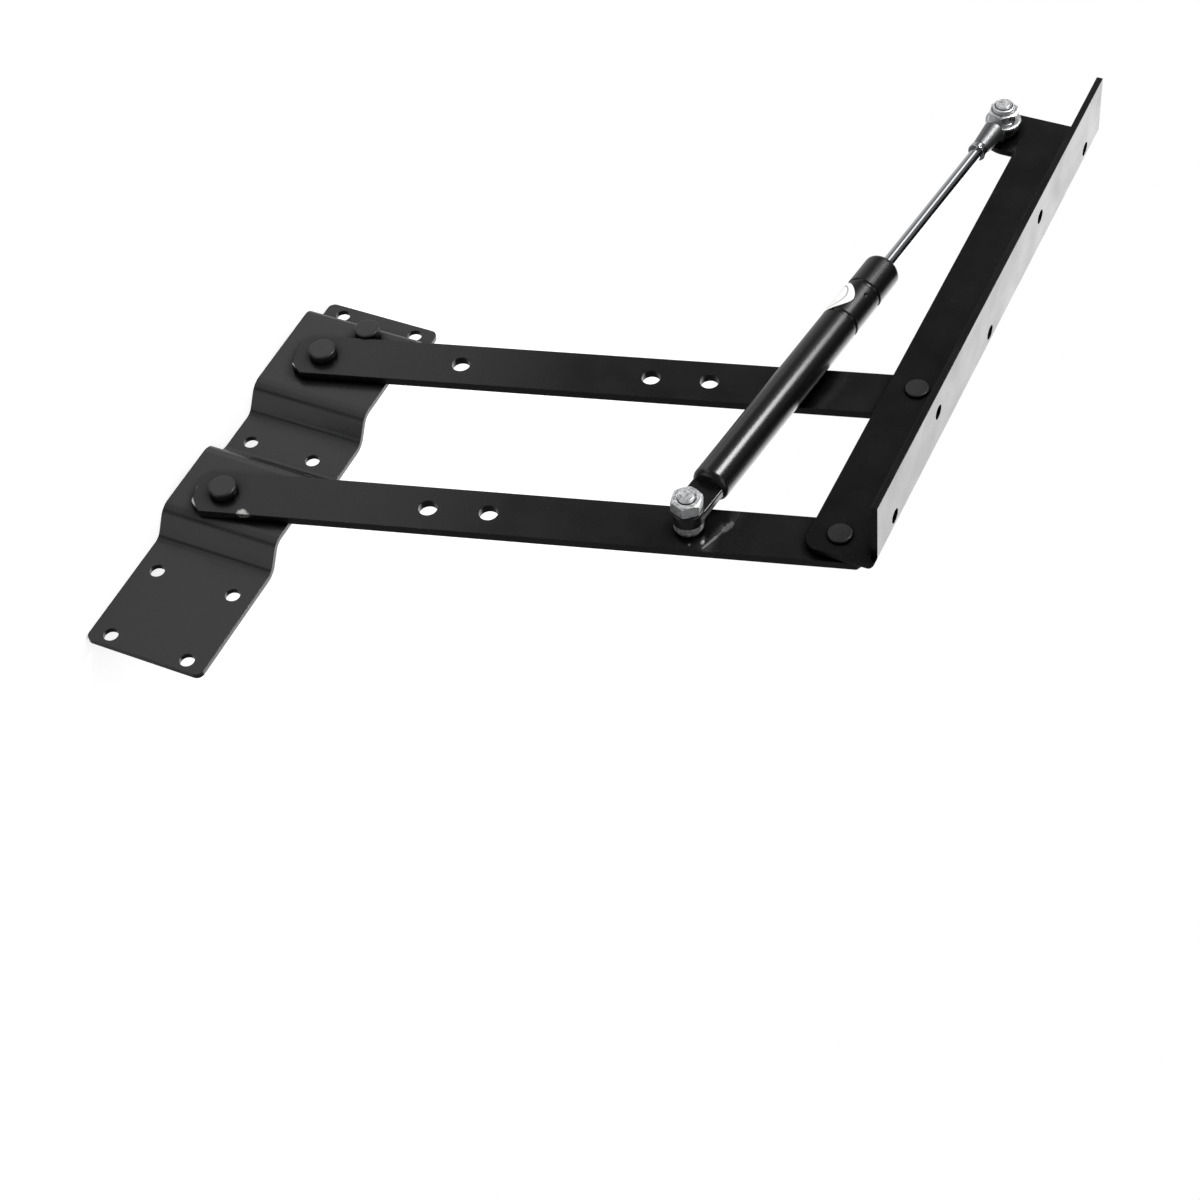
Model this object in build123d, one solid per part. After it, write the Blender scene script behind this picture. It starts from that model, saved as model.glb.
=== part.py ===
# Lift-top table mechanism, right hand, drawn fully raised. Millimetres, +Z up, as fitted in a table.
# The bracket's screw face is the plane Y = 0 and the whole mechanism stands out from it towards -Y.
# The origin is the centre of the bracket's four-hole pattern, on that face. The rail runs along X.
import os
from math import atan2, cos, degrees, radians, sin, tan

from build123d import *

# Bracket: one strip pressed into tabs, which meet the panel, and plateaus, which stand off it
bracket_width = 60.0
bracket_sheet = 2.5
plateau_step = 12.5
riser_angle = 56.0
bend_radius = 6.0
far_bend_radius = 4.0
end_bend_radius = 2.0
front_tab_length = 64.2
lower_plateau_length = 40.3
middle_tab_length = 27.0
upper_plateau_length = 52.2
end_tab_length = 11.0
bracket_corner_radius = 3.5

# Screw holes in the bracket
screw_hole_radius = 3.5
hole_side_margin = 10.0
hole_end_margin = 6.0
front_hole_pitch = 40.0
middle_hole_pitch = 33.5
middle_hole_inset = 10.1

# Pivots on the bracket
pivot_height = 25.0
lower_pivot_along = 61.0
pivot_spacing = 94.0

# Links: two equal flat bars with clipped corners, leaning forward when raised
link_length = 282.0
link_width = 25.0
link_thickness = 4.0
link_end = 13.5
link_clip = 5.0
raised_angle = 75.0
spare_hole_radius = 4.4
lower_spare_holes = (96.0, 124.0)
upper_spare_holes = (67.5, 158.5, 186.0)

# Rail: an angle section that carries the table top, with an ear for the gas spring
rail_sheet = 3.0
rail_inner_side = 13.5
rail_outer_side = 20.0
rail_flange_height = 35.0
rail_bend_radius = 0.5
web_tail = 11.5
web_reach = 291.2
web_corner_radius = 7.0
web_top_radius = 2.5
flange_tail = 7.0
flange_reach = 293.5
ear_radius = 14.1
ear_offset = 5.7
ear_root_radius = 1.0
top_hole_radius = 3.5
top_hole_first = 14.0
top_hole_second = 67.0
top_hole_last = 20.2
top_hole_inner_row = 8.7
top_hole_outer_row = 22.0

# Rivets, washers and the stop pin
rivet_radius = 4.0
base_head_radius = 6.5
base_head_height = 4.2
base_tail_radius = 5.0
base_tail_height = 2.2
lower_rail_head_radius = 7.5
upper_rail_head_radius = 6.4
rail_head_height = 2.6
rail_tail_radius = 5.6
rail_tail_height = 1.6
rivet_edge_radius = 0.9
washer_radius = 9.0
base_washer_thickness = 0.4
rail_washer_thickness = 0.9
running_clearance = 0.08
face_gap = 0.1
stop_radius = 6.0
stop_shank_radius = 3.6
stop_height = 5.8
stop_along = 17.0
stop_gap = 0.1

# Gas spring: black tube on the lower link, polished rod and cast eye on the rail
lower_stud_along = 215.0
upper_stud_inset = 13.5
upper_stud_drop = 24.3
tube_radius = 9.0
tube_wall = 1.2
tube_length = 159.2
tube_floor = 4.0
tube_foot_radius = 3.0
tube_shoulder_radius = 2.8
groove_depth = 0.7
groove_radius = 1.6
mouth_groove_inset = 20.4
guide_groove_inset = 42.1
dimple_inset = 26.4
dimple_radius = 1.5
dimple_depth = 0.6
dimple_turn = 36.0
mouth_lip = 1.5
mouth_radius = 4.0
rod_radius = 3.0
rod_thread = 10.5
rod_collar_radius = 4.65
rod_collar_length = 3.4
rod_collar_edge = 0.5
piston_length = 9.0
piston_clearance = 0.05
piston_ring_width = 2.0
piston_ring_depth = 1.2
guide_length = 10.0
seal_length = 5.0
lower_eye_radius = 7.6
lower_eye_thickness = 7.0
lower_eye_edge = 0.8
blade_thickness = 4.4
blade_length = 17.1
upper_eye_radius = 8.0
upper_eye_thickness = 4.4
upper_eye_drop = 2.9
upper_eye_edge = 1.2
socket_radius = 5.5
socket_mouth_radius = 4.2
socket_length = 25.1
socket_neck = 9.6
socket_chamfer = 0.6

# Studs, spacers and nuts of the gas spring
stud_radius = 4.0
stud_tip_chamfer = 0.8
stud_projection = 1.3
stud_head_height = 1.4
lower_stud_head_radius = 5.7
upper_stud_head_radius = 6.2
spacer_radius = 6.8
spacer_edge = 0.5
spacer_foot_radius = 5.4
lower_spacer_height = 6.9
lower_spacer_foot = 2.4
nut_flats = 13.0
nut_turn = 10.0
nut_height = 6.5
nut_rim = 1.3
nut_rim_angle = 30.0
nut_countersink = 0.4
nut_flange_radius = 8.8
nut_flange_thickness = 1.2
nut_skirt_height = 1.6
nut_skirt_radius = 6.9
flange_nut_height = 9.6
lock_collar_radius = 5.4
lock_collar_height = 2.4

# Plain sticker on the tube
sticker_length = 21.0
sticker_span = 16.8
sticker_thickness = 0.12
sticker_inset = 32.7
sticker_turn = -56.0

# How far a cutter runs past what it cuts, and how close two lengths are to count as one
cut_room = 1.0
same_length = 0.01

# Places along the strip, counted from the origin towards the far end
front_end = front_hole_pitch / 2 + hole_end_margin
riser_run = plateau_step / tan(radians(riser_angle))
riser_1 = front_tab_length - front_end
riser_2 = riser_1 + riser_run + lower_plateau_length
riser_3 = riser_2 + riser_run + middle_tab_length
riser_4 = riser_3 + riser_run + upper_plateau_length
strip_end = riser_4 + riser_run + end_tab_length
upper_pivot_along = lower_pivot_along + pivot_spacing
middle_holes_along = riser_2 + riser_run + middle_hole_inset
low_edge = -bracket_width / 2
pivot_z = low_edge + pivot_height
side_hole_z = bracket_width / 2 - hole_side_margin

# Levels, counted out from the screw face
plateau_level = plateau_step + bracket_sheet
link_level = plateau_level + base_washer_thickness + face_gap
link_top = link_level + link_thickness
web_level = link_top + face_gap + rail_washer_thickness
web_top = web_level + rail_sheet
lower_spacer_level = link_top + face_gap
lower_eye_level = lower_spacer_level + lower_spacer_height
lower_eye_top = lower_eye_level + lower_eye_thickness
spring_level = (lower_eye_level + lower_eye_top) / 2
upper_eye_level = spring_level - upper_eye_drop - upper_eye_thickness / 2
upper_eye_top = upper_eye_level + upper_eye_thickness
upper_spacer_height = upper_eye_level - face_gap - web_top
upper_nut_level = upper_eye_top + face_gap

# Pivot points in X and Z
link_dir = Vector(-cos(radians(raised_angle)), sin(radians(raised_angle)))
link_side = Vector(-link_dir.Y, link_dir.X)
pivot_a = Vector(-lower_pivot_along, pivot_z)
pivot_c = Vector(-upper_pivot_along, pivot_z)
pivot_b = pivot_a + link_dir * link_length
pivot_d = pivot_c + link_dir * link_length
stud_p = pivot_a + link_dir * lower_stud_along
stud_e = pivot_b + Vector(upper_stud_inset - web_reach, -upper_stud_drop)
spring_start = Vector(stud_p.X, -spring_level, stud_p.Y)
spring_run = Vector(stud_e.X, -spring_level, stud_e.Y) - spring_start
spring_length = spring_run.length
link_turn = degrees(atan2(link_dir.Y, link_dir.X))


def plate(outline, level, thickness):
    """A flat piece drawn in X and Z, from a level outwards."""
    return extrude(Plane.XZ.offset(level) * outline, thickness)


def disc(centre, radius, level, thickness):
    """A round piece on an axis across the mechanism."""
    return plate(Pos(centre.X, centre.Y) * Circle(radius), level, thickness)


def through(centre, radius, level, thickness):
    """A round cutter that runs past both faces of a sheet."""
    return disc(centre, radius, level - cut_room, thickness + 2 * cut_room)


def ring(centre, outer, inner, level, thickness):
    """A washer on an axis across the mechanism."""
    return plate(Pos(centre.X, centre.Y) * (Circle(outer) - Circle(inner)), level, thickness)


def rounded_disc(centre, radius, level, thickness, outwards):
    """A rivet head whose free rim is rounded."""
    body = disc(centre, radius, level, thickness)
    rims = body.edges().filter_by(GeomType.CIRCLE).sort_by(Axis.Y)
    rim = rims[0] if outwards else rims[-1]
    return fillet(rim, min(rivet_edge_radius, thickness * 0.45))


def rivet(centre, wall_head, gas_head, wall_level, gas_level):
    """A rivet with a round head at each end; a head is a radius and a height."""
    shank = disc(centre, rivet_radius, wall_level, gas_level - wall_level)
    wall = rounded_disc(centre, wall_head[0], wall_level - wall_head[1], wall_head[1], False)
    gas = rounded_disc(centre, gas_head[0], gas_level, gas_head[1], True)
    return shank + wall + gas


def hexagon(centre, level, height):
    """A hexagon whose corners are turned off at both ends."""
    corner = nut_flats / 3 ** 0.5
    body = plate(Pos(centre.X, centre.Y) * Rot(0, 0, nut_turn) * RegularPolygon(corner, 6), level, height)
    barrel = disc(centre, corner, level, height)
    for side in (0, -1):
        face = barrel.faces().sort_by(Axis.Y)[side]
        barrel = chamfer(face.edges(), nut_rim, nut_rim * tan(radians(nut_rim_angle)), reference=face)
    return body & barrel


def bored(body, centre, level, height):
    """Bores a nut to the stud's size and countersinks its outer face."""
    body -= disc(centre, stud_radius, level, height)
    rims = body.edges().filter_by(GeomType.CIRCLE).sort_by(Axis.Y)
    mouth = [e for e in rims if abs(e.radius - stud_radius) < same_length][0]
    return chamfer(mouth, nut_countersink)


def stud(centre, bottom, top):
    """A round stud whose tip is chamfered."""
    body = disc(centre, stud_radius, bottom, top - bottom)
    tip = body.edges().filter_by(GeomType.CIRCLE).sort_by(Axis.Y)[0]
    return chamfer(tip, stud_tip_chamfer)


def along_spring(shape):
    """Lays a piece drawn along +Z, from the lower stud, onto the spring's axis."""
    return Plane(origin=spring_start, x_dir=(0, -1, 0), z_dir=spring_run) * shape


def bracket():
    """The pressed strip: its middle line from end to end, with rounded bends, given its sheet."""
    low, high = -bracket_sheet / 2, -(plateau_step + bracket_sheet / 2)
    line = [(front_end, low)]
    for start, before, after in (
        (riser_1, low, high), (riser_2, high, low), (riser_3, low, high), (riser_4, high, low),
    ):
        line += [(-start, before), (-start - riser_run, after)]
    line.append((-strip_end, low))
    radii = 6 * [bend_radius] + [far_bend_radius, end_bend_radius]
    middle_line = FilletPolyline(*line, radius=[radius + bracket_sheet / 2 for radius in radii])
    body = extrude(trace(middle_line, line_width=bracket_sheet), bracket_width / 2, both=True)
    corners = [e for e in body.edges().filter_by(Axis.Y) if abs(e.length - bracket_sheet) < same_length]
    body = fillet(corners, bracket_corner_radius)
    holes = [Vector(x, z) for x in (-front_hole_pitch / 2, front_hole_pitch / 2)
             for z in (-side_hole_z, side_hole_z)]
    holes += [Vector(-middle_holes_along, z) for z in (-side_hole_z, middle_hole_pitch - side_hole_z)]
    holes += [Vector(hole_end_margin - strip_end, z) for z in (-side_hole_z, side_hole_z)]
    for hole in holes:
        body -= through(hole, screw_hole_radius, 0, bracket_sheet)
    for pivot, radius in ((pivot_a, rivet_radius), (pivot_c, rivet_radius), (stop_point(), stop_shank_radius)):
        body -= through(pivot, radius, plateau_step, bracket_sheet)
    return body


def stop_point():
    """Where the stop pin stands: beside the upper link, on the rail's rod-end side."""
    return pivot_c + link_dir * stop_along + link_side * (link_width / 2 + stop_radius + stop_gap)


def link(pivot, spare_holes, stud_hole):
    """A flat bar from a bracket pivot to a rail pivot."""
    length = link_length + 2 * link_end
    bar = Rectangle(length, link_width, align=(Align.MIN, Align.CENTER))
    bar = chamfer(bar.vertices(), link_clip)
    bar = Pos(-link_end, 0) * bar
    bore = rivet_radius + running_clearance
    bar -= Circle(bore) + Pos(link_length, 0) * Circle(bore)
    for distance in spare_holes:
        bar -= Pos(distance, 0) * Circle(spare_hole_radius)
    if stud_hole:
        bar -= Pos(lower_stud_along, 0) * Circle(stud_radius)
    return plate(Pos(pivot.X, pivot.Y) * (Rot(0, 0, link_turn) * bar), link_level, link_thickness)


def rail():
    """An angle section along X whose web end carries the gas spring's ear."""
    inner_z = pivot_b.Y - rail_inner_side
    outer_z = pivot_b.Y + rail_outer_side
    web_right, web_left = pivot_b.X + web_tail, pivot_b.X - web_reach
    flange_right, flange_left = pivot_b.X + flange_tail, pivot_b.X - flange_reach
    ear = Vector(web_left + ear_radius, inner_z - ear_offset)
    middle = web_level + rail_sheet / 2
    middle_line = FilletPolyline(
        (-middle, ear.Y - ear_radius),
        (-middle, outer_z - rail_sheet / 2),
        (-(web_level + rail_flange_height), outer_z - rail_sheet / 2),
        radius=rail_bend_radius + rail_sheet / 2,
    )
    section = Plane.YZ.offset(flange_left) * trace(middle_line, line_width=rail_sheet)
    body = extrude(section, web_right - flange_left)
    # outline of the web, with the ear hanging from its rod end
    web = Pos((web_left + web_right) / 2, (inner_z + outer_z) / 2) * Rectangle(
        web_right - web_left, outer_z - inner_z
    )
    web = fillet(web.vertices().sort_by_distance((web_right, inner_z, 0))[0], web_corner_radius)
    web = fillet(web.vertices().sort_by_distance((web_right, outer_z, 0))[0], web_top_radius)
    ear_neck = Pos(ear.X, ear.Y) * Rectangle(
        2 * ear_radius, outer_z - ear.Y, align=(Align.CENTER, Align.MIN)
    )
    outline = web + Pos(ear.X, ear.Y) * Circle(ear_radius) + ear_neck
    root = outline.vertices().sort_by_distance((ear.X + ear_radius, inner_z, 0))[0]
    outline = fillet(root, ear_root_radius)
    flange_room = Pos((flange_left + flange_right) / 2, -web_top, outer_z + cut_room) * Box(
        flange_right - flange_left, rail_flange_height, rail_sheet + 2 * cut_room,
        align=(Align.CENTER, Align.MAX, Align.MAX),
    )
    body &= plate(outline, web_level, rail_sheet) + flange_room
    for centre in (pivot_b, pivot_d, stud_e):
        body -= through(centre, rivet_radius, web_level, rail_sheet)
    for x, level in top_holes():
        drill = Cylinder(top_hole_radius, rail_sheet + 2 * cut_room)
        body -= Pos(x, -level, outer_z - rail_sheet / 2) * drill
    return body


def top_holes():
    """Table-top screw holes in the flange: X and level, staggered between two rows."""
    pitch = (web_reach - top_hole_last - top_hole_second) / 3
    runs = [top_hole_first] + [top_hole_second + i * pitch for i in range(4)]
    rows = (top_hole_inner_row, top_hole_outer_row)
    return [(pivot_b.X - run, web_level + rows[i % 2]) for i, run in enumerate(runs)]


def stop_pin():
    shank = disc(stop_point(), stop_shank_radius, plateau_step, bracket_sheet)
    return shank + rounded_disc(stop_point(), stop_radius, plateau_level, stop_height, True)


def turned(radius, low, high, bore=0.0):
    """A round piece along +Z between two distances from the lower stud."""
    body = Pos(0, 0, low) * Cylinder(radius, high - low, align=(Align.CENTER, Align.CENTER, Align.MIN))
    if bore:
        body -= Pos(0, 0, low) * Cylinder(bore, high - low, align=(Align.CENTER, Align.CENTER, Align.MIN))
    return body


def spring_tube():
    """Closed at the lower end, rolled in at the mouth, with two rolled grooves."""
    outer = turned(tube_radius, blade_length, tube_mouth)
    mouth = outer.edges().filter_by(GeomType.CIRCLE).sort_by(Axis.Z)[-1]
    outer = fillet(mouth, tube_shoulder_radius)
    foot = outer.edges().filter_by(GeomType.CIRCLE).sort_by(Axis.Z)[0]
    outer = fillet(foot, tube_foot_radius)
    inner = turned(inner_radius, blade_length + tube_floor, tube_mouth - mouth_lip)
    inner_end = inner.edges().filter_by(GeomType.CIRCLE).sort_by(Axis.Z)[-1]
    inner = fillet(inner_end, tube_shoulder_radius - mouth_lip / 2)
    body = outer - inner - turned(mouth_radius, tube_mouth - mouth_lip - cut_room, tube_mouth + cut_room)
    groove = Torus(tube_radius + groove_radius - groove_depth, groove_radius)
    for inset in (mouth_groove_inset, guide_groove_inset):
        body -= Pos(0, 0, tube_mouth - inset) * groove
    dimple = Pos(tube_radius + dimple_radius - dimple_depth, 0, tube_mouth - dimple_inset) * Sphere(dimple_radius)
    return along_spring(body - Rot(0, 0, dimple_turn) * dimple)


def rod():
    return along_spring(turned(rod_radius, piston_low, socket_mouth + rod_thread))


def rod_collar():
    """The turned collar against which the rod end is screwed home."""
    collar = turned(rod_collar_radius, socket_mouth - rod_collar_length, socket_mouth)
    collar = fillet(collar.edges().filter_by(GeomType.CIRCLE), rod_collar_edge)
    return along_spring(collar - turned(rod_radius, socket_mouth - rod_collar_length, socket_mouth))


def piston():
    groove = turned(inner_radius, ring_low, ring_high, inner_radius - piston_ring_depth)
    return along_spring(turned(inner_radius - piston_clearance, piston_low, piston_high, rod_radius) - groove)


def piston_ring():
    return along_spring(
        turned(inner_radius - piston_clearance, ring_low, ring_high, inner_radius - piston_ring_depth)
    )


def tube_eye():
    """A flat blade on the tube's floor, with a thicker round eye on the stud."""
    blade = Box(
        blade_thickness, 2 * lower_eye_radius, blade_length, align=(Align.CENTER, Align.CENTER, Align.MIN)
    )
    blade = fillet(blade.edges().filter_by(Axis.Z), lower_eye_edge)
    eye = disc(stud_p, lower_eye_radius, lower_eye_level, lower_eye_thickness)
    eye = fillet(eye.edges().filter_by(GeomType.CIRCLE), lower_eye_edge)
    return along_spring(blade) + eye - through(stud_p, stud_radius, lower_eye_level, lower_eye_thickness)


def rod_eye():
    """Cast rod end: a round socket on the rod, whose lower half runs on as the flat eye."""
    socket = Pos(0, 0, socket_mouth) * Cone(
        socket_mouth_radius, socket_radius, spring_length - socket_neck - socket_mouth,
        align=(Align.CENTER, Align.CENTER, Align.MIN),
    )
    socket = chamfer(socket.edges().filter_by(GeomType.CIRCLE), socket_chamfer)
    neck = Pos(-upper_eye_drop, 0, spring_length - socket_neck - socket_chamfer) * Box(
        upper_eye_thickness - 2 * face_gap, 2 * (socket_radius - socket_chamfer),
        socket_neck + socket_chamfer, align=(Align.CENTER, Align.CENTER, Align.MIN),
    )
    eye = disc(stud_e, upper_eye_radius, upper_eye_level, upper_eye_thickness)
    eye = fillet(eye.edges().filter_by(GeomType.CIRCLE), upper_eye_edge)
    thread = turned(rod_radius, socket_mouth, socket_mouth + rod_thread)
    bore = through(stud_e, stud_radius + running_clearance, upper_eye_level, upper_eye_thickness)
    return along_spring(socket + neck - thread) + eye - bore


def sticker():
    """A plain round sticker wrapped on the tube."""
    skin = turned(
        tube_radius + sticker_thickness, tube_mouth - sticker_inset - sticker_length,
        tube_mouth - sticker_inset + sticker_length, tube_radius,
    )
    punch = extrude(Ellipse(sticker_length / 2, sticker_span / 2), 2 * tube_radius)
    punch = Pos(0, 0, tube_mouth - sticker_inset) * Rot(0, 90, 0) * punch
    return along_spring(skin & (Rot(0, 0, sticker_turn) * punch))


def lower_spacer():
    """A turned spacer that stands on a narrower foot."""
    foot = disc(stud_p, spacer_foot_radius, lower_spacer_level, lower_spacer_foot)
    drum = disc(
        stud_p, spacer_radius, lower_spacer_level + lower_spacer_foot, lower_spacer_height - lower_spacer_foot
    )
    drum = fillet(drum.edges().filter_by(GeomType.CIRCLE), spacer_edge)
    return foot + drum - disc(stud_p, stud_radius, lower_spacer_level, lower_spacer_height)


def lower_stud_tail():
    """The riveted foot of the lower stud, in the link."""
    head = rounded_disc(stud_p, lower_stud_head_radius, link_level - stud_head_height, stud_head_height, False)
    return head + disc(stud_p, stud_radius, link_level, link_thickness)


def upper_stud():
    """Riveted through the rail's ear, with a threaded end."""
    head = rounded_disc(stud_e, upper_stud_head_radius, web_level - stud_head_height, stud_head_height, False)
    return head + stud(stud_e, web_level, upper_nut_level + flange_nut_height + stud_projection)


def flange_nut():
    """A lock nut: a flange with a sloping skirt, a hexagon and a rolled collar."""
    flange = rounded_disc(stud_e, nut_flange_radius, upper_nut_level, nut_flange_thickness, True)
    skirt_level = upper_nut_level + nut_flange_thickness
    skirt = Pos(stud_e.X, -skirt_level, stud_e.Y) * Rot(90, 0, 0) * Cone(
        nut_flange_radius - rivet_edge_radius, nut_skirt_radius, nut_skirt_height,
        align=(Align.CENTER, Align.CENTER, Align.MIN),
    )
    collar_level = upper_nut_level + flange_nut_height - lock_collar_height
    collar = rounded_disc(stud_e, lock_collar_radius, collar_level, lock_collar_height, True)
    body = flange + skirt + hexagon(stud_e, skirt_level, collar_level - skirt_level) + collar
    return bored(body, stud_e, upper_nut_level, flange_nut_height)


# Distances along the gas spring, from the lower stud
tube_mouth = blade_length + tube_length
inner_radius = tube_radius - tube_wall
guide_high = tube_mouth - mouth_lip - tube_shoulder_radius
guide_low = guide_high - guide_length
seal_low = guide_low - seal_length
piston_high = seal_low - 2 * groove_radius
piston_low = piston_high - piston_length
ring_low = (piston_low + piston_high - piston_ring_width) / 2
ring_high = ring_low + piston_ring_width
socket_mouth = spring_length - socket_length

# Levels and heads of the rivets
base_rivet_level = link_top + face_gap
rail_rivet_level = link_level - face_gap
rail_washer_level = web_level - rail_washer_thickness
base_tail = (base_tail_radius, base_tail_height)
base_head = (base_head_radius, base_head_height)
lower_rail_head = (lower_rail_head_radius, rail_head_height)
upper_rail_head = (upper_rail_head_radius, rail_head_height)
rail_tail = (rail_tail_radius, rail_tail_height)
sliding_radius = rod_radius + running_clearance

pieces = {
    "base_bracket": bracket(),
    "lower_base_rivet": rivet(pivot_a, base_tail, base_head, plateau_step, base_rivet_level),
    "upper_base_rivet": rivet(pivot_c, base_tail, base_head, plateau_step, base_rivet_level),
    "lower_base_washer": ring(pivot_a, washer_radius, rivet_radius, plateau_level, base_washer_thickness),
    "upper_base_washer": ring(pivot_c, washer_radius, rivet_radius, plateau_level, base_washer_thickness),
    "stop_pin": stop_pin(),
    "lower_link": link(pivot_a, lower_spare_holes, True),
    "upper_link": link(pivot_c, upper_spare_holes, False),
    "top_rail": rail(),
    "lower_rail_rivet": rivet(pivot_b, lower_rail_head, rail_tail, rail_rivet_level, web_top),
    "upper_rail_rivet": rivet(pivot_d, upper_rail_head, rail_tail, rail_rivet_level, web_top),
    "lower_rail_washer": ring(pivot_b, washer_radius, rivet_radius, rail_washer_level, rail_washer_thickness),
    "upper_rail_washer": ring(pivot_d, washer_radius, rivet_radius, rail_washer_level, rail_washer_thickness),
    "upper_stud": upper_stud(),
    "upper_stud_spacer": ring(stud_e, spacer_radius, stud_radius, web_top, upper_spacer_height),
    "upper_stud_nut": flange_nut(),
    "rod_end_eye": rod_eye(),
    "rod_collar": rod_collar(),
    "spring_rod": rod(),
    "spring_piston": piston(),
    "piston_ring": piston_ring(),
    "spring_tube": spring_tube(),
    "rod_guide": along_spring(turned(inner_radius, guide_low, guide_high, sliding_radius)),
    "rod_seal": along_spring(turned(inner_radius, seal_low, guide_low, sliding_radius)),
    "tube_eye": tube_eye(),
    "tube_sticker": sticker(),
    "lower_stud_tail": lower_stud_tail(),
    "lower_stud": stud(stud_p, lower_spacer_level, lower_eye_top + nut_height + stud_projection),
    "lower_stud_spacer": lower_spacer(),
    "lower_stud_nut": bored(hexagon(stud_p, lower_eye_top, nut_height), stud_p, lower_eye_top, nut_height),
}

os.makedirs("parts", exist_ok=True)
for name, shape in pieces.items():
    shape.label = name
    export_step(shape, f"parts/{name}.step")
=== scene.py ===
import math

import bpy
from mathutils import Matrix, Vector


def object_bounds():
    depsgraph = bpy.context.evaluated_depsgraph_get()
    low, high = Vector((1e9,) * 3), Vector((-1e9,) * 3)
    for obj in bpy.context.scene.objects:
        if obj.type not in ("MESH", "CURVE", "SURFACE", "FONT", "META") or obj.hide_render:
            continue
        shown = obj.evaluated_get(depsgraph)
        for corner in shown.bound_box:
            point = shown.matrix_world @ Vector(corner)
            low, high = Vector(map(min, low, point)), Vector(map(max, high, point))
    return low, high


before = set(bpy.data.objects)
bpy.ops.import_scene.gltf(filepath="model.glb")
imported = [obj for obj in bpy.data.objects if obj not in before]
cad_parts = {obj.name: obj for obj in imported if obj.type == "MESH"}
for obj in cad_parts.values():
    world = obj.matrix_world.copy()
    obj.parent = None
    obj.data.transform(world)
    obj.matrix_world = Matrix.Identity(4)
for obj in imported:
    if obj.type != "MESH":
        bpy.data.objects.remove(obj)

start_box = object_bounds()

MM = 0.001
PER_MM = 1 / MM

# The Mix node's colour sockets share their names with its number sockets, so they go by their places
COLOUR_A, COLOUR_B, MIXED = 6, 7, 2


# Colours

def linear(code):
    """An sRGB hex colour as linear values."""
    steps = [int(code[i:i + 2], 16) / 255 for i in (1, 3, 5)]
    return [s / 12.92 if s <= 0.04045 else ((s + 0.055) / 1.055) ** 2.4 for s in steps] + [1.0]


WHITE = (1.0, 1.0, 1.0, 1.0)


# Nodes

def add(tree, kind, settings=None, inputs=None):
    """Adds a node, sets its properties, and gives its sockets values or links."""
    node = tree.nodes.new("ShaderNode" + kind)
    for name, value in (settings or {}).items():
        setattr(node, name, value)
    for socket, value in (inputs or {}).items():
        if isinstance(value, bpy.types.NodeSocket):
            tree.links.new(value, node.inputs[socket])
        else:
            node.inputs[socket].default_value = value
    return node


def new_finish(name):
    """An empty material, its tree and the piece's own coordinates in metres."""
    material = bpy.data.materials.new(name)
    material.use_nodes = True
    tree = material.node_tree
    tree.nodes.clear()
    place = add(tree, "TexCoord").outputs["Object"]
    return material, tree, place


def close_finish(tree, inputs):
    """The shader and the material's output."""
    shader = add(tree, "BsdfPrincipled", inputs=inputs)
    add(tree, "OutputMaterial", inputs={"Surface": shader.outputs["BSDF"]})


# Part of a colour that the painted corner shade leaves in the deepest corner
DEEPEST = 0.08


def painted_corner_shade(tree, reach_mm, shut=0.4, clear=0.75):
    """Painted shade: a factor that falls from 1 to nearly 0 where the surface is hemmed in, as shadow falls
    in corners and between parts.
    """
    open_sky = add(tree, "AmbientOcclusion", {"samples": 8}, {"Distance": reach_mm * MM}).outputs["AO"]
    return add(tree, "MapRange", inputs={"Value": open_sky, "From Min": shut, "From Max": clear,
                                         "To Min": DEEPEST}).outputs["Result"]


# How far the ragged rim of a chip wanders, and where the chip starts and is full, in half widths
RAG, RIM, FULL = 1.6, 1.9, 1.4


def chips(tree, place, marks):
    """A mask of ragged chips and scratches; a mark is its two ends and half width in mm, and its strength."""
    crumble_mm = 1.1
    crumble = add(tree, "TexNoise", inputs={"Vector": place, "Scale": PER_MM / crumble_mm, "Detail": 4.0,
                                            "Roughness": 0.7}).outputs["Fac"]
    mask = None
    for start, end, half_mm, strength in marks:
        half = half_mm * MM
        first = Vector(start) * MM
        run = (Vector(end) - Vector(start)) * MM
        from_first = add(tree, "VectorMath", {"operation": "SUBTRACT"},
                         {0: place, 1: first}).outputs["Vector"]
        dot = add(tree, "VectorMath", {"operation": "DOT_PRODUCT"}, {0: from_first, 1: run}).outputs["Value"]
        part = add(tree, "MapRange", inputs={"Value": dot, "From Max": run.length_squared}).outputs["Result"]
        near = add(tree, "VectorMath", {"operation": "SCALE"}, {0: run, "Scale": part}).outputs["Vector"]
        off = add(tree, "VectorMath", {"operation": "DISTANCE"}, {0: from_first, 1: near}).outputs["Value"]
        ragged = add(tree, "Math", {"operation": "MULTIPLY_ADD"},
                     {0: crumble, 1: RAG * half, 2: off}).outputs["Value"]
        hit = add(tree, "MapRange", inputs={"Value": ragged, "From Min": RIM * half, "From Max": FULL * half,
                                            "To Max": strength}).outputs["Result"]
        if mask is None:
            mask = hit
        else:
            mask = add(tree, "Math", {"operation": "MAXIMUM"}, {0: mask, 1: hit}).outputs["Value"]
    return mask


# Finishes

# The shader's usual specular level, how far the paint's roughness swings, and the steel where it is gone
FULL_SHEEN = 0.5
SMOOTHER, ROUGHER = 0.04, 0.05
BARE_STEEL = "#b4b4b2"


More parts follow.
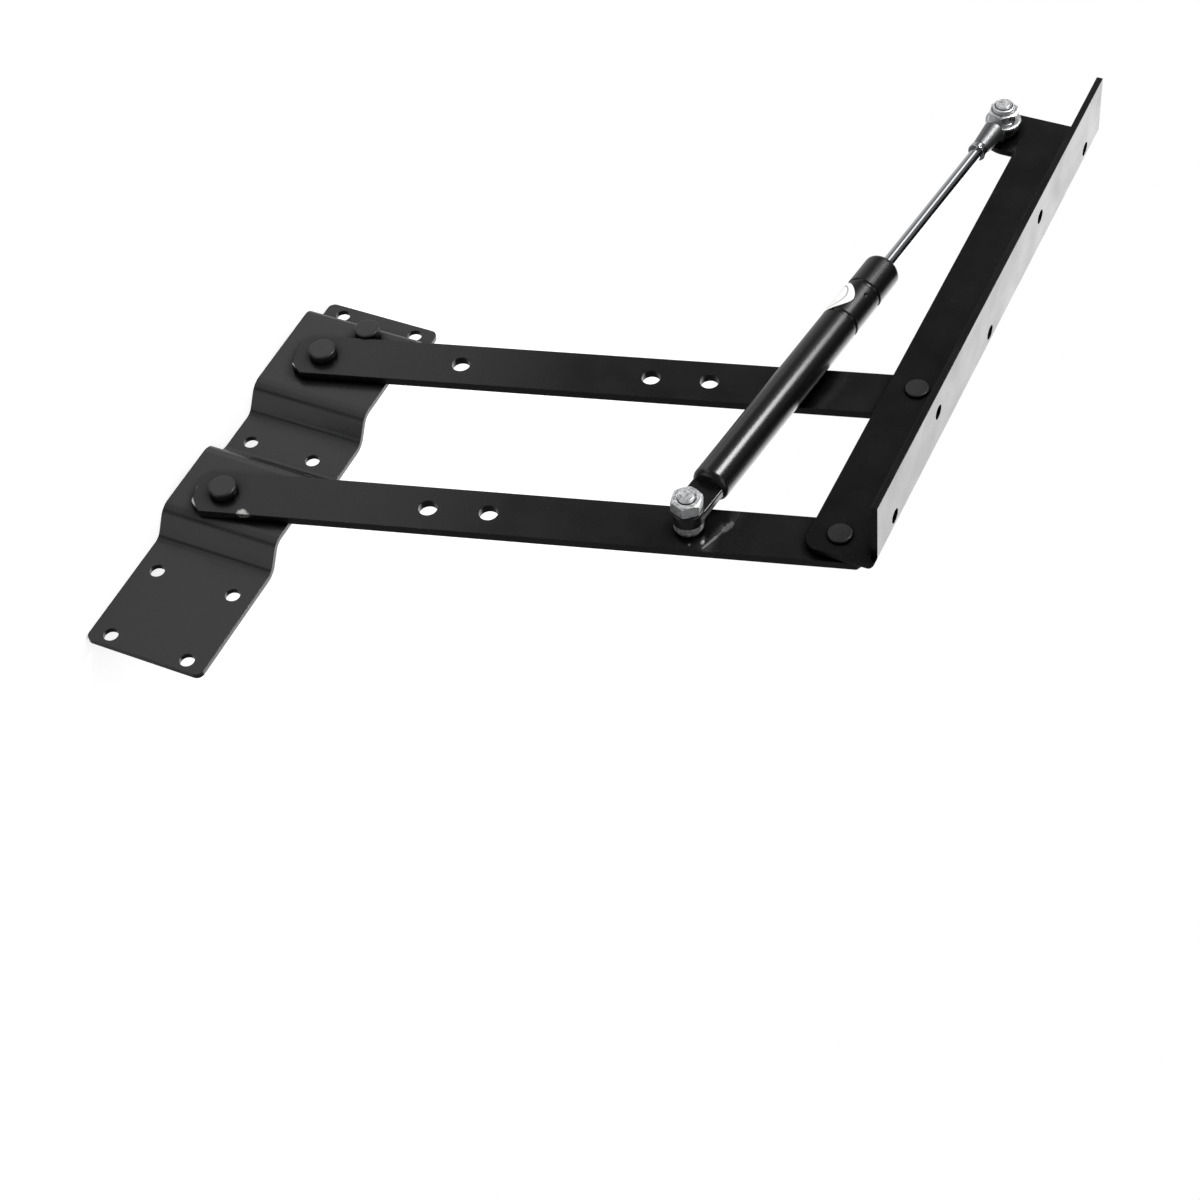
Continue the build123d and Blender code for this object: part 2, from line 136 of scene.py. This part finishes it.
def black_paint(name, dark, light, roughness, ior, peel_mm, peel_depth_mm, edge_wear, marks=()):
    """Stoved black paint on steel: a near-black satin skin with faint orange peel.

    The paint is worn grey along sharp edges, and painted shade darkens its colour and weakens its reflection
    in corners and beside other pieces.
    """
    cloud_mm, speck_mm, edge_mm, corner_mm = 22.0, 1.6, 0.5, 7.0
    material, tree, place = new_finish(name)
    cloud = add(tree, "TexNoise", inputs={"Vector": place, "Scale": PER_MM / cloud_mm, "Detail": 3.0,
                                          "Roughness": 0.5}).outputs["Fac"]
    peel = add(tree, "TexNoise", inputs={"Vector": place, "Scale": PER_MM / peel_mm, "Detail": 2.0,
                                         "Roughness": 0.5}).outputs["Fac"]
    speck = add(tree, "TexNoise", inputs={"Vector": place, "Scale": PER_MM / speck_mm, "Detail": 5.0,
                                          "Roughness": 0.7}).outputs["Fac"]
    tone = add(tree, "Mix", {"data_type": "RGBA"},
               {"Factor": cloud, COLOUR_A: linear(dark), COLOUR_B: linear(light)}).outputs[MIXED]
    soft = add(tree, "Bevel", {"samples": 4}, {"Radius": edge_mm * MM}).outputs["Normal"]
    flat = add(tree, "NewGeometry").outputs["Normal"]
    bend = add(tree, "VectorMath", {"operation": "DOT_PRODUCT"}, {0: soft, 1: flat}).outputs["Value"]
    edge = add(tree, "MapRange", inputs={"Value": bend, "From Min": 0.93, "From Max": 0.80}).outputs["Result"]
    chance = add(tree, "MapRange", inputs={"Value": speck, "From Min": 0.56, "From Max": 0.68,
                                           "To Max": edge_wear}).outputs["Result"]
    worn_away = add(tree, "Math", {"operation": "MULTIPLY"}, {0: edge, 1: chance}).outputs["Value"]
    if marks:
        worn_away = add(tree, "Math", {"operation": "MAXIMUM"},
                        {0: worn_away, 1: chips(tree, place, marks)}).outputs["Value"]
    coat = add(tree, "Mix", {"data_type": "RGBA"},
               {"Factor": worn_away, COLOUR_A: tone, COLOUR_B: linear(BARE_STEEL)}).outputs[MIXED]
    # Painted shade: colour and reflection strength fall where the surface is hemmed in by corners and other
    # pieces
    shade = painted_corner_shade(tree, corner_mm, shut=0.5, clear=0.93)
    base = add(tree, "VectorMath", {"operation": "SCALE"}, {0: coat, "Scale": shade}).outputs["Vector"]
    shaded_sheen = add(tree, "Math", {"operation": "MULTIPLY"}, {0: shade, 1: FULL_SHEEN}).outputs["Value"]
    gloss = add(tree, "MapRange", inputs={"Value": cloud, "From Min": 0.3, "From Max": 0.7,
                                          "To Min": roughness - SMOOTHER,
                                          "To Max": roughness + ROUGHER}).outputs["Result"]
    skin = add(tree, "Bump", inputs={"Strength": 0.5, "Distance": peel_depth_mm * MM, "Height": peel,
                                     "Normal": soft}).outputs["Normal"]
    close_finish(tree, {"Base Color": base, "Roughness": gloss, "IOR": ior, "Metallic": worn_away,
                        "Normal": skin, "Specular IOR Level": shaded_sheen})
    return material


def bright_zinc():
    """Bright zinc plate: a cool silver whose fine crystals spread the light, sharper where it was handled."""
    crystal_mm, pitting_mm, pitting_depth_mm, edge_mm, corner_mm = 1.6, 0.8, 0.05, 0.4, 1.0
    material, tree, place = new_finish("bright_zinc_plate")
    crystals = add(tree, "TexNoise", inputs={"Vector": place, "Scale": PER_MM / crystal_mm, "Detail": 4.0,
                                             "Roughness": 0.6}).outputs["Fac"]
    plate = add(tree, "Mix", {"data_type": "RGBA"},
                {"Factor": crystals, COLOUR_A: linear("#dcdee0"), COLOUR_B: linear("#f6f7f8")}).outputs[MIXED]
    # Painted shade: the plate's colour is darkened in the crevices round studs, nuts and spacers
    shade = painted_corner_shade(tree, corner_mm, shut=0.5, clear=0.88)
    base = add(tree, "VectorMath", {"operation": "SCALE"}, {0: plate, "Scale": shade}).outputs["Vector"]
    gloss = add(tree, "MapRange", inputs={"Value": crystals, "From Min": 0.35, "From Max": 0.65,
                                          "To Min": 0.26, "To Max": 0.58}).outputs["Result"]
    soft = add(tree, "Bevel", {"samples": 4}, {"Radius": edge_mm * MM}).outputs["Normal"]
    pitting = add(tree, "TexNoise", inputs={"Vector": place, "Scale": PER_MM / pitting_mm, "Detail": 3.0,
                                            "Roughness": 0.5}).outputs["Fac"]
    skin = add(tree, "Bump", inputs={"Strength": 0.5, "Distance": pitting_depth_mm * MM, "Height": pitting,
                                     "Normal": soft}).outputs["Normal"]
    close_finish(tree, {"Base Color": base, "Roughness": gloss, "Metallic": 1.0, "Normal": skin})
    return material


def die_cast_zinc():
    """Die-cast zinc: dull grey metal with a fine grainy skin from the mould."""
    grain_mm, grain_depth_mm, corner_mm = 0.5, 0.05, 1.5
    material, tree, place = new_finish("die_cast_zinc")
    grain = add(tree, "TexNoise", inputs={"Vector": place, "Scale": PER_MM / grain_mm, "Detail": 4.0,
                                          "Roughness": 0.6}).outputs["Fac"]
    metal = add(tree, "Mix", {"data_type": "RGBA"},
                {"Factor": grain, COLOUR_A: linear("#4c4d4e"), COLOUR_B: linear("#9a9b9c")}).outputs[MIXED]
    # Painted shade: the metal's colour is darkened in its corners and beside other pieces
    shade = painted_corner_shade(tree, corner_mm)
    base = add(tree, "VectorMath", {"operation": "SCALE"}, {0: metal, "Scale": shade}).outputs["Vector"]
    skin = add(tree, "Bump", inputs={"Strength": 0.6, "Distance": grain_depth_mm * MM,
                                     "Height": grain}).outputs["Normal"]
    close_finish(tree, {"Base Color": base, "Roughness": 0.42, "Metallic": 1.0, "Normal": skin})
    return material


def hard_chrome():
    """Ground and chromed rod steel: a sharp mirror with the faintest haze of the grinding."""
    haze_mm = 0.8
    material, tree, place = new_finish("hard_chrome")
    haze = add(tree, "TexNoise", inputs={"Vector": place, "Scale": PER_MM / haze_mm, "Detail": 3.0,
                                         "Roughness": 0.5}).outputs["Fac"]
    gloss = add(tree, "MapRange", inputs={"Value": haze, "To Min": 0.07, "To Max": 0.14}).outputs["Result"]
    base = add(tree, "Mix", {"data_type": "RGBA"},
               {"Factor": haze, COLOUR_A: linear("#b4b6b8"), COLOUR_B: linear("#c9cbcd")}).outputs[MIXED]
    close_finish(tree, {"Base Color": base, "Roughness": gloss, "Metallic": 1.0})
    return material


def gloss_enamel():
    """Gloss black enamel on drawn tube: deep black with a clear highlight, softened by a little waviness."""
    wave_mm, wave_depth_mm, dust_mm = 5.0, 0.02, 0.9
    material, tree, place = new_finish("gloss_black_enamel")
    wave = add(tree, "TexNoise", inputs={"Vector": place, "Scale": PER_MM / wave_mm, "Detail": 2.0,
                                         "Roughness": 0.5}).outputs["Fac"]
    dust = add(tree, "TexNoise", inputs={"Vector": place, "Scale": PER_MM / dust_mm, "Detail": 4.0,
                                         "Roughness": 0.7}).outputs["Fac"]
    base = add(tree, "Mix", {"data_type": "RGBA"},
               {"Factor": dust, COLOUR_A: linear("#070707"), COLOUR_B: linear("#121212")}).outputs[MIXED]
    gloss = add(tree, "MapRange", inputs={"Value": dust, "To Min": 0.21, "To Max": 0.3}).outputs["Result"]
    skin = add(tree, "Bump", inputs={"Strength": 0.3, "Distance": wave_depth_mm * MM,
                                     "Height": wave}).outputs["Normal"]
    close_finish(tree, {"Base Color": base, "Roughness": gloss, "IOR": 1.5, "Normal": skin})
    return material


def moulded_plastic(name, dark, light, roughness):
    """Moulded plastic or rubber: a matt skin with a fine even grain."""
    grain_mm, grain_depth_mm = 0.4, 0.02
    material, tree, place = new_finish(name)
    grain = add(tree, "TexNoise", inputs={"Vector": place, "Scale": PER_MM / grain_mm, "Detail": 3.0,
                                          "Roughness": 0.5}).outputs["Fac"]
    base = add(tree, "Mix", {"data_type": "RGBA"},
               {"Factor": grain, COLOUR_A: linear(dark), COLOUR_B: linear(light)}).outputs[MIXED]
    skin = add(tree, "Bump", inputs={"Strength": 0.5, "Distance": grain_depth_mm * MM,
                                     "Height": grain}).outputs["Normal"]
    close_finish(tree, {"Base Color": base, "Roughness": roughness, "IOR": 1.46, "Normal": skin})
    return material


def turned_alloy():
    """Turned aluminium alloy: pale metal whose fine turning shows as a soft sheen."""
    grain_mm = 0.3
    material, tree, place = new_finish("turned_alloy")
    grain = add(tree, "TexNoise", inputs={"Vector": place, "Scale": PER_MM / grain_mm, "Detail": 3.0,
                                          "Roughness": 0.5}).outputs["Fac"]
    base = add(tree, "Mix", {"data_type": "RGBA"},
               {"Factor": grain, COLOUR_A: linear("#a4a5a6"), COLOUR_B: linear("#c6c7c8")}).outputs[MIXED]
    close_finish(tree, {"Base Color": base, "Roughness": 0.34, "Metallic": 1.0})
    return material


# The sticker's middle in mm, its directions along and round the tube, and its ring's two half widths in mm
STICKER_MIDDLE = Vector((-259.87, -35.10, 214.68))
ALONG_TUBE = Vector((-0.9907, 0.0, 0.1357))
ROUND_TUBE = Vector((0.076, -0.8285, 0.5548))
RING_ALONG, RING_ROUND = 8.3, 6.2

# Where the ring's line fades out and is full, as parts of the ring's half width, and how strongly it prints
LINE_RIM, LINE_CORE, LINE_INK = 0.06, 0.025, 0.8


def printed_ring(tree, place):
    """A mask of the thin ring that is printed just inside the sticker's edge."""
    off = add(tree, "VectorMath", {"operation": "SUBTRACT"},
              {0: place, 1: STICKER_MIDDLE * MM}).outputs["Vector"]
    along = add(tree, "VectorMath", {"operation": "DOT_PRODUCT"},
                {0: off, 1: ALONG_TUBE * PER_MM / RING_ALONG}).outputs["Value"]
    across = add(tree, "VectorMath", {"operation": "DOT_PRODUCT"},
                 {0: off, 1: ROUND_TUBE * PER_MM / RING_ROUND}).outputs["Value"]
    flat = add(tree, "CombineXYZ", inputs={"X": along, "Y": across}).outputs["Vector"]
    away = add(tree, "VectorMath", {"operation": "LENGTH"}, {0: flat}).outputs["Value"]
    miss = add(tree, "Math", {"operation": "SUBTRACT"}, {0: away, 1: 1.0}).outputs["Value"]
    gap = add(tree, "Math", {"operation": "ABSOLUTE"}, {0: miss}).outputs["Value"]
    return add(tree, "MapRange", inputs={"Value": gap, "From Min": LINE_RIM, "From Max": LINE_CORE,
                                         "To Max": LINE_INK}).outputs["Result"]


def coated_paper():
    """Coated white paper: a clean white label with a weak satin coat and a little tooth."""
    tooth_mm, tooth_depth_mm = 0.5, 0.01
    material, tree, place = new_finish("coated_paper")
    tooth = add(tree, "TexNoise", inputs={"Vector": place, "Scale": PER_MM / tooth_mm, "Detail": 4.0,
                                          "Roughness": 0.5}).outputs["Fac"]
    paper = add(tree, "Mix", {"data_type": "RGBA"},
                {"Factor": tooth, COLOUR_A: linear("#e6e6e4"), COLOUR_B: linear("#f2f2f0")}).outputs[MIXED]
    ring = printed_ring(tree, place)
    base = add(tree, "Mix", {"data_type": "RGBA"},
               {"Factor": ring, COLOUR_A: paper, COLOUR_B: linear("#6c6c6c")}).outputs[MIXED]
    skin = add(tree, "Bump", inputs={"Strength": 0.3, "Distance": tooth_depth_mm * MM,
                                     "Height": tooth}).outputs["Normal"]
    close_finish(tree, {"Base Color": base, "Roughness": 0.45, "IOR": 1.5, "Normal": skin})
    return material


# Chips at both links' lower ends, and the scratch and specks beside the gas spring's lower stud, in mm
LINK_FACE = -19.5
link_marks = [
    ((-52.6, LINK_FACE, 9.2), (-51.0, LINK_FACE, 12.0), 2.3, 1.0),
    ((-59.8, LINK_FACE, -19.0), (-53.2, LINK_FACE, -17.6), 0.5, 0.9),
    ((-53.2, LINK_FACE, -17.6), (-47.5, LINK_FACE, -12.5), 0.5, 0.9),
    ((-146.0, LINK_FACE, -17.6), (-141.5, LINK_FACE, -13.0), 0.6, 0.8),
    ((-108.5, LINK_FACE, 212.9), (-117.0, LINK_FACE, 216.0), 0.7, 0.35),
    ((-117.0, LINK_FACE, 216.0), (-121.4, LINK_FACE, 217.2), 0.5, 0.2),
    ((-121.6, LINK_FACE, 217.6), (-126.0, LINK_FACE, 219.0), 1.5, 0.28),
    ((-111.2, LINK_FACE, 211.4), (-111.8, LINK_FACE, 211.4), 0.9, 0.7),
    ((-107.9, LINK_FACE, 206.5), (-108.4, LINK_FACE, 206.5), 0.6, 0.4),
]

finishes = {
    "black_bracket_steel": black_paint(
        "satin_black_on_pressed_steel", "#1c1c1d", "#242425", roughness=0.24, ior=1.42,
        peel_mm=1.3, peel_depth_mm=0.02, edge_wear=0.5),
    "black_link_steel": black_paint(
        "satin_black_on_flat_bar", "#0b0b0c", "#111112", roughness=0.27, ior=1.42,
        peel_mm=1.1, peel_depth_mm=0.02, edge_wear=0.4, marks=link_marks),
    "black_rail_steel": black_paint(
        "satin_black_on_folded_rail", "#070708", "#0c0c0d", roughness=0.25, ior=1.38,
        peel_mm=1.2, peel_depth_mm=0.02, edge_wear=0.3),
    "black_rivet": black_paint(
        "black_on_rivet_heads", "#1b1b1c", "#232324", roughness=0.34, ior=1.46,
        peel_mm=0.9, peel_depth_mm=0.03, edge_wear=0.6),
    "zinc_plate": bright_zinc(),
    "cast_zinc": die_cast_zinc(),
    "hard_chrome": hard_chrome(),
    "piston_alloy": turned_alloy(),
    "piston_seal": moulded_plastic("moulded_rubber", "#0b0b0b", "#161616", 0.55),
    "tube_enamel": gloss_enamel(),
    "guide_plastic": moulded_plastic("moulded_acetal", "#141414", "#202020", 0.4),
    "white_paper": coated_paper(),
}

for name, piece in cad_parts.items():
    slot_name = piece.data.materials[0].name
    piece.data.materials[0] = finishes[slot_name]


# Floor

# The floor's half width, and the distances in metres between which it fades to pure white
FLOOR_HALF = 6.0
FADE_START, FADE_END = 0.3, 0.9
FLOOR_LIFT = 0.5


def floor_paint():
    """A pale matt sheet that the camera sees fade to pure white away from the part."""
    material, tree, place = new_finish("pale_floor")
    seen = add(tree, "LightPath").outputs["Is Camera Ray"]
    away = add(tree, "VectorMath", {"operation": "LENGTH"}, {0: place}).outputs["Value"]
    far = add(tree, "MapRange", inputs={"Value": away, "From Min": FADE_START,
                                        "From Max": FADE_END}).outputs["Result"]
    matt = add(tree, "BsdfDiffuse", inputs={"Color": linear("#e8e8e8")})
    lift = add(tree, "Emission", inputs={"Color": WHITE, "Strength": FLOOR_LIFT})
    near = add(tree, "AddShader", inputs={0: matt.outputs["BSDF"], 1: lift.outputs["Emission"]})
    white = add(tree, "Emission", inputs={"Color": WHITE, "Strength": 1.0})
    shown = add(tree, "MixShader", inputs={"Fac": far, 1: near.outputs["Shader"],
                                           2: white.outputs["Emission"]})
    both = add(tree, "MixShader", inputs={"Fac": seen, 1: matt.outputs["BSDF"], 2: shown.outputs["Shader"]})
    add(tree, "OutputMaterial", inputs={"Surface": both.outputs["Shader"]})
    return material


middle = (start_box[0] + start_box[1]) / 2
corners = [(x * FLOOR_HALF, y * FLOOR_HALF, 0) for x, y in ((-1, -1), (1, -1), (1, 1), (-1, 1))]
floor_mesh = bpy.data.meshes.new("floor")
floor_mesh.from_pydata(corners, [], [(0, 1, 2, 3)])
floor = bpy.data.objects.new("floor", floor_mesh)
floor.location = (middle.x, middle.y, start_box[0].z)
floor_mesh.materials.append(floor_paint())
bpy.context.scene.collection.objects.link(floor)
floor.visible_glossy = False
floor.visible_shadow = False


# Room

# The room's brightness to matt surfaces, and to mirrors in front of the part and low down behind it
ROOM, DARK_ROOM, PALE_ROOM = 0.4, 0.16, 0.7
PALE_SIDE = Vector((-0.6, 0.5, -0.6)).normalized()


def room_light(tree):
    """White to the camera; a dim room, paler low down behind the part, to mirror rays; even to the rest."""
    seen = add(tree, "LightPath")
    mirrored = add(tree, "Math", {"operation": "MAXIMUM"},
                   {0: seen.outputs["Is Glossy Ray"],
                    1: seen.outputs["Is Transmission Ray"]}).outputs["Value"]
    toward = add(tree, "TexCoord").outputs["Generated"]
    ahead = add(tree, "VectorMath", {"operation": "DOT_PRODUCT"}, {0: toward, 1: PALE_SIDE}).outputs["Value"]
    shade = add(tree, "MapRange", inputs={"Value": ahead, "From Min": 0.28, "From Max": 0.8,
                                          "To Min": DARK_ROOM, "To Max": PALE_ROOM}).outputs["Result"]
    room = add(tree, "Background", inputs={"Color": WHITE, "Strength": ROOM})
    backdrop = add(tree, "Background", inputs={"Color": WHITE, "Strength": 1.0})
    dim = add(tree, "Background", inputs={"Color": WHITE, "Strength": shade})
    lit = add(tree, "MixShader", inputs={"Fac": seen.outputs["Is Camera Ray"], 1: room.outputs["Background"],
                                         2: backdrop.outputs["Background"]})
    sky = add(tree, "MixShader", inputs={"Fac": mirrored, 1: lit.outputs["Shader"],
                                         2: dim.outputs["Background"]})
    add(tree, "OutputWorld", inputs={"Surface": sky.outputs["Shader"]})


world = bpy.data.worlds.new("studio")
world.use_nodes = True
world.node_tree.nodes.clear()
room_light(world.node_tree)
bpy.context.scene.world = world


# Lamps

def softbox(name, toward, distance, width, height, brightness, aim=middle):
    """A rectangular lamp seen from its aim in the given direction, in metres; brightness is its radiance."""
    direction = Vector(toward).normalized()
    lamp = bpy.data.lights.new(name, "AREA")
    lamp.shape = "RECTANGLE"
    lamp.size = width
    lamp.size_y = height
    lamp.energy = brightness * math.pi * width * height
    held = bpy.data.objects.new(name, lamp)
    held.location = Vector(aim) + direction * distance
    held.rotation_mode = "QUATERNION"
    held.rotation_quaternion = direction.to_track_quat("Z", "Y")
    held.visible_camera = False
    bpy.context.scene.collection.objects.link(held)


TUBE_FOOT = (-0.146, -0.03, 0.207)
ROD_MIDDLE = (-0.34, -0.03, 0.233)
BRACKET_MIDDLE = (-0.09, 0.0, 0.0)

# The streak on the tube, and the glint on the rod and the zinc nuts
softbox("key_softbox", (-0.475, -0.785, 0.37), 1.3, 0.24, 0.44, 36.0, TUBE_FOOT)
softbox("rod_softbox", (-0.685, -0.749, 0.10), 1.3, 0.36, 0.46, 1.7, ROD_MIDDLE)
# The grey sheen on the bracket's flats, its round bends and its risers
softbox("low_softbox", (-0.53, -0.72, -0.45), 0.62, 0.52, 0.30, 0.88, BRACKET_MIDDLE)
softbox("bend_softbox", (0.15, -0.93, -0.35), 0.7, 0.52, 0.34, 0.8, BRACKET_MIDDLE)
softbox("riser_softbox", (0.96, -0.28, -0.47), 0.7, 0.5, 0.5, 1.0, BRACKET_MIDDLE)
# The pale outer face of the rail's flange, and an even light from above
softbox("rim_softbox", (-0.62, 0.68, 0.39), 1.6, 1.4, 1.4, 2.05)
softbox("top_softbox", (0.15, -0.3, 0.94), 2.2, 1.8, 1.8, 0.9)


# Camera

# The camera's turns in degrees about Z, its own X and its line of sight, and its place in metres
HEADING, PITCH, ROLL = 35.9266, 70.7152, 107.1535
CAMERA_PLACE = (0.560047, -0.882408, 0.556113)

camera_data = bpy.data.cameras.new("camera")
camera_data.sensor_width = 36.0
camera_data.lens = 78.205
camera = bpy.data.objects.new("camera", camera_data)
bpy.context.scene.collection.objects.link(camera)
turn = (Matrix.Rotation(math.radians(HEADING), 4, "Z") @ Matrix.Rotation(math.radians(PITCH), 4, "X")
        @ Matrix.Rotation(math.radians(ROLL), 4, "Z"))
camera.matrix_world = Matrix.Translation(CAMERA_PLACE) @ turn
bpy.context.scene.camera = camera
bpy.context.scene.view_settings.view_transform = "Standard"
